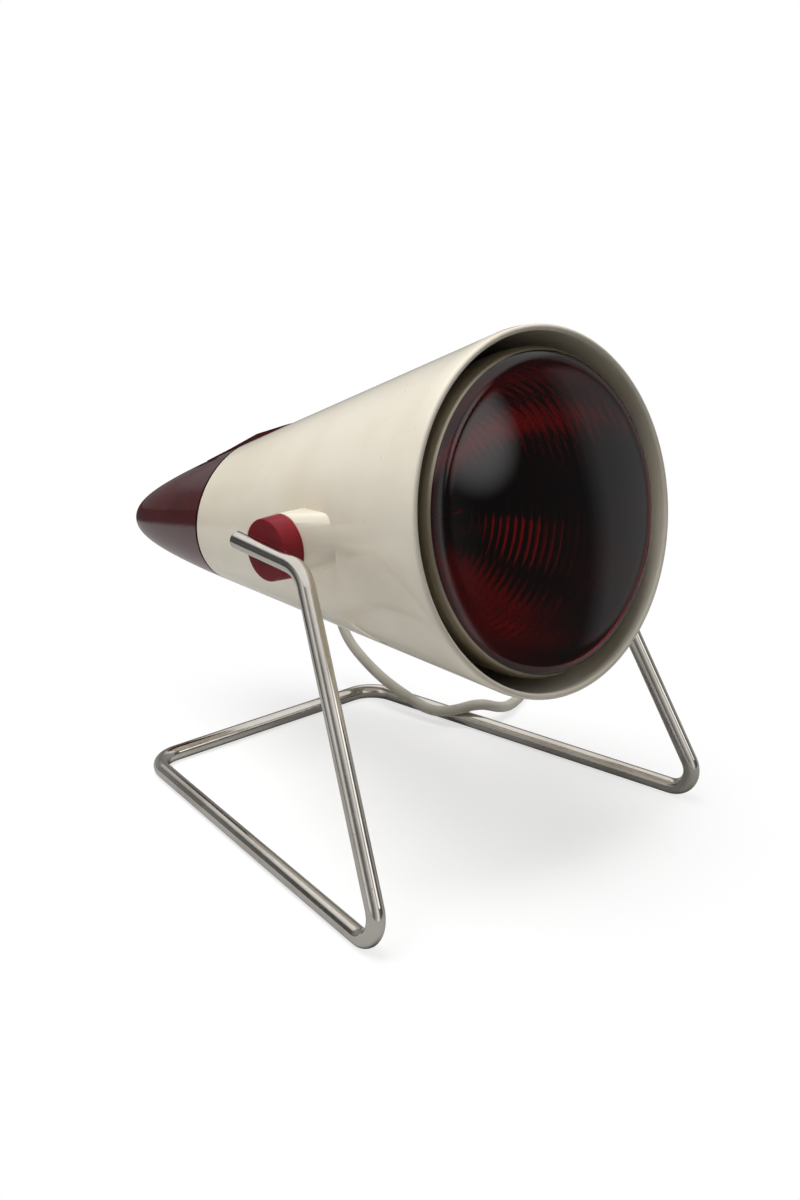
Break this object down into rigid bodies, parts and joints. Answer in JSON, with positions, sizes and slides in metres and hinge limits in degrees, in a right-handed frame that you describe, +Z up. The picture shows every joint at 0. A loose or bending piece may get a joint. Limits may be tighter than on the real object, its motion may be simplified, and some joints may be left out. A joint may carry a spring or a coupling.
{
  "type": "infrared heat therapy lamp",
  "caption": "Infrared heat therapy lamp: conical shell with a red reflector bulb and a rounded rear cap, tilting on side knobs in a bent wire stand, with a mains cord.",
  "frame": {"origin": "on the table, on the stand's plane of symmetry, midway along its foot loop", "axes": "+Z up, -Y where the light goes, +X the side where the cord leaves"},
  "size_m": [0.3712, 0.3056, 0.2199],
  "materials": {
    "nickel_rod": "nickel-plated steel rod, satin bright",
    "knob_red": "moulded dark red plastic, semi-gloss",
    "maroon_cap": "moulded maroon plastic, glossy",
    "cream_shell": "cream moulded shell, soft gloss",
    "red_glass": "dark red pressed glass",
    "silvered_glass": "silvered glass bowl",
    "clear_glass": "clear glass",
    "black_glass": "black vitrite",
    "brass": "rolled brass",
    "solder": "tinned contact",
    "lead_wire": "plain wire",
    "porcelain": "glazed porcelain",
    "zinc_steel": "zinc-plated steel",
    "nylon": "natural nylon",
    "live_brown": "insulated core",
    "neutral_blue": "insulated core",
    "cord_sheath": "pale flexible sheath",
    "relief_rubber": "dark red-brown rubber",
    "tie_black": "black band",
    "plug_cream": "moulded pale plug"
  },
  "bodies": {
    "stand": {"stand_rod": "nickel_rod", "knob_right": "knob_red", "knob_left": "knob_red", "pivot_bolts": "zinc_steel", "spring_washers": "zinc_steel", "lock_nuts": "zinc_steel", "cord": "cord_sheath", "cord_coil": "cord_sheath", "coil_tie": "tie_black", "cord_tail": "cord_sheath", "plug_relief": "cord_sheath", "plug_body": "plug_cream", "plug_pins": "brass"},
    "head": {"housing_cone": "cream_shell", "rear_cap": "maroon_cap", "cap_screw": "zinc_steel", "pivot_bushes": "nylon", "bulb_lens": "red_glass", "bulb_reflector": "silvered_glass", "bulb_base": "brass", "bulb_base_insulator": "black_glass", "bulb_contact": "solder", "bulb_stem": "clear_glass", "bulb_supports": "lead_wire", "bulb_filament": "lead_wire", "lamp_holder": "porcelain", "holder_sleeve": "brass", "holder_contact": "brass", "holder_bracket": "zinc_steel", "holder_ring": "porcelain", "bracket_screws": "zinc_steel", "terminal_blocks": "brass", "terminal_screws": "brass", "live_wire": "live_brown", "neutral_wire": "neutral_blue", "inner_cord": "cord_sheath", "cord_clamp": "zinc_steel", "clamp_screws": "zinc_steel", "cord_strain_relief": "relief_rubber"}
  },
  "joints": [
    {"name": "head_tilt", "type": "hinge", "parent": "stand", "child": "head", "pos_m": [0, -0.0041, 0.1322], "axis": [1, 0, 0], "range_deg": [-22, 90]}
  ]
}
